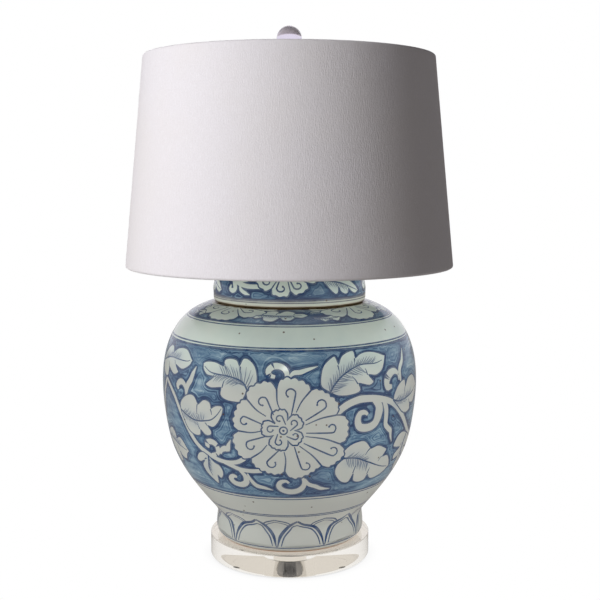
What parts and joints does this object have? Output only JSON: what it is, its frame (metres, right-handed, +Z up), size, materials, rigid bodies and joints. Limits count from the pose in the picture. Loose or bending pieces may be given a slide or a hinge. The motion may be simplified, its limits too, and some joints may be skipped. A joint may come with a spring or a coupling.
{
  "type": "ginger jar table lamp",
  "caption": "Ginger jar table lamp: a covered porcelain jar with blue and white flower scrolls on a clear disc base, with socket, harp, linen drum shade and ball finial.",
  "frame": {"origin": "on the table, under the middle of the lamp, at the bottom of the base's bumpers", "axes": "+Z up along the lamp's rod, -Y towards the front with the switch, +X to the right seen from the front"},
  "size_m": [0.4579, 0.458, 0.746],
  "materials": {
    "acrylic": "clear polished acrylic",
    "bumper_rubber": "clear soft rubber",
    "zinc_steel": "zinc plated steel",
    "porcelain": "pale celadon glaze over cobalt painting",
    "grommet_rubber": "black rubber",
    "brass": "lacquered brass",
    "nickel": "satin nickel plate",
    "fibre": "vulcanised fibre",
    "phenolic": "black phenolic moulding",
    "bulb_metal": "rolled aluminium",
    "black_glass": "black vitrite glass",
    "solder": "solder button",
    "frosted_glass": "frosted inside",
    "clear_glass": "clear",
    "white_wire": "white enamel on steel wire",
    "styrene": "white translucent sheet",
    "linen": "off-white woven linen",
    "crystal": "polished ball"
  },
  "bodies": {
    "base_and_jar": {"base_disc": "acrylic", "base_bumpers": "bumper_rubber", "base_washer": "zinc_steel", "base_lock_washer": "zinc_steel", "base_nut": "zinc_steel", "lamp_rod": "zinc_steel", "jar_body": "porcelain", "jar_lid": "porcelain", "cord_grommet": "grommet_rubber", "lid_washer": "bumper_rubber", "check_ring": "brass", "lock_nut": "brass", "harp_saddle": "nickel", "socket_cap": "brass", "cap_set_screw": "zinc_steel", "socket_shell": "brass", "socket_liner": "fibre", "socket_body": "phenolic", "screw_shell": "brass", "centre_contact": "brass", "terminal_screws": "brass"},
    "switch": {"switch_knob": "phenolic"},
    "bulb": {"bulb_cap": "bulb_metal", "bulb_insulator": "black_glass", "bulb_tip": "solder", "bulb_glass": "frosted_glass", "bulb_stem": "clear_glass"},
    "harp": {"harp_frame": "nickel"},
    "sleeve_left": {"harp_sleeve_left": "nickel"},
    "sleeve_right": {"harp_sleeve_right": "nickel"},
    "swivel_stud": {"harp_stud": "nickel"},
    "shade": {"shade_spider": "white_wire", "shade_bottom_ring": "white_wire", "shade_liner": "styrene", "shade_linen": "linen"},
    "finial": {"finial_base": "nickel", "finial_ball": "crystal"}
  },
  "joints": [
    {"name": "harp_lift", "type": "slide", "parent": "base_and_jar", "child": "harp", "axis": [0, 0, 1], "range_m": [0, 0.05]},
    {"name": "sleeve_left_lift", "type": "slide", "parent": "harp", "child": "sleeve_left", "axis": [0, 0, 1], "range_m": [0, 0.012]},
    {"name": "sleeve_right_lift", "type": "slide", "parent": "harp", "child": "sleeve_right", "axis": [0, 0, 1], "range_m": [0, 0.012]},
    {"name": "shade_turn", "type": "hinge", "parent": "harp", "child": "swivel_stud", "pos_m": [0, 0, 0.6856], "axis": [0, 0, 1], "continuous": true},
    {"name": "shade_lift", "type": "slide", "parent": "swivel_stud", "child": "shade", "axis": [0, 0, 1], "range_m": [0, 0.3]},
    {"name": "finial_lift", "type": "slide", "parent": "shade", "child": "finial", "axis": [0, 0, 1], "range_m": [0, 0.014]},
    {"name": "bulb_lift", "type": "slide", "parent": "base_and_jar", "child": "bulb", "axis": [0, 0, 1], "range_m": [0, 0.028]},
    {"name": "switch_turn", "type": "hinge", "parent": "base_and_jar", "child": "switch", "pos_m": [0, -0.03, 0.481], "axis": [0, -1, 0], "continuous": true}
  ]
}
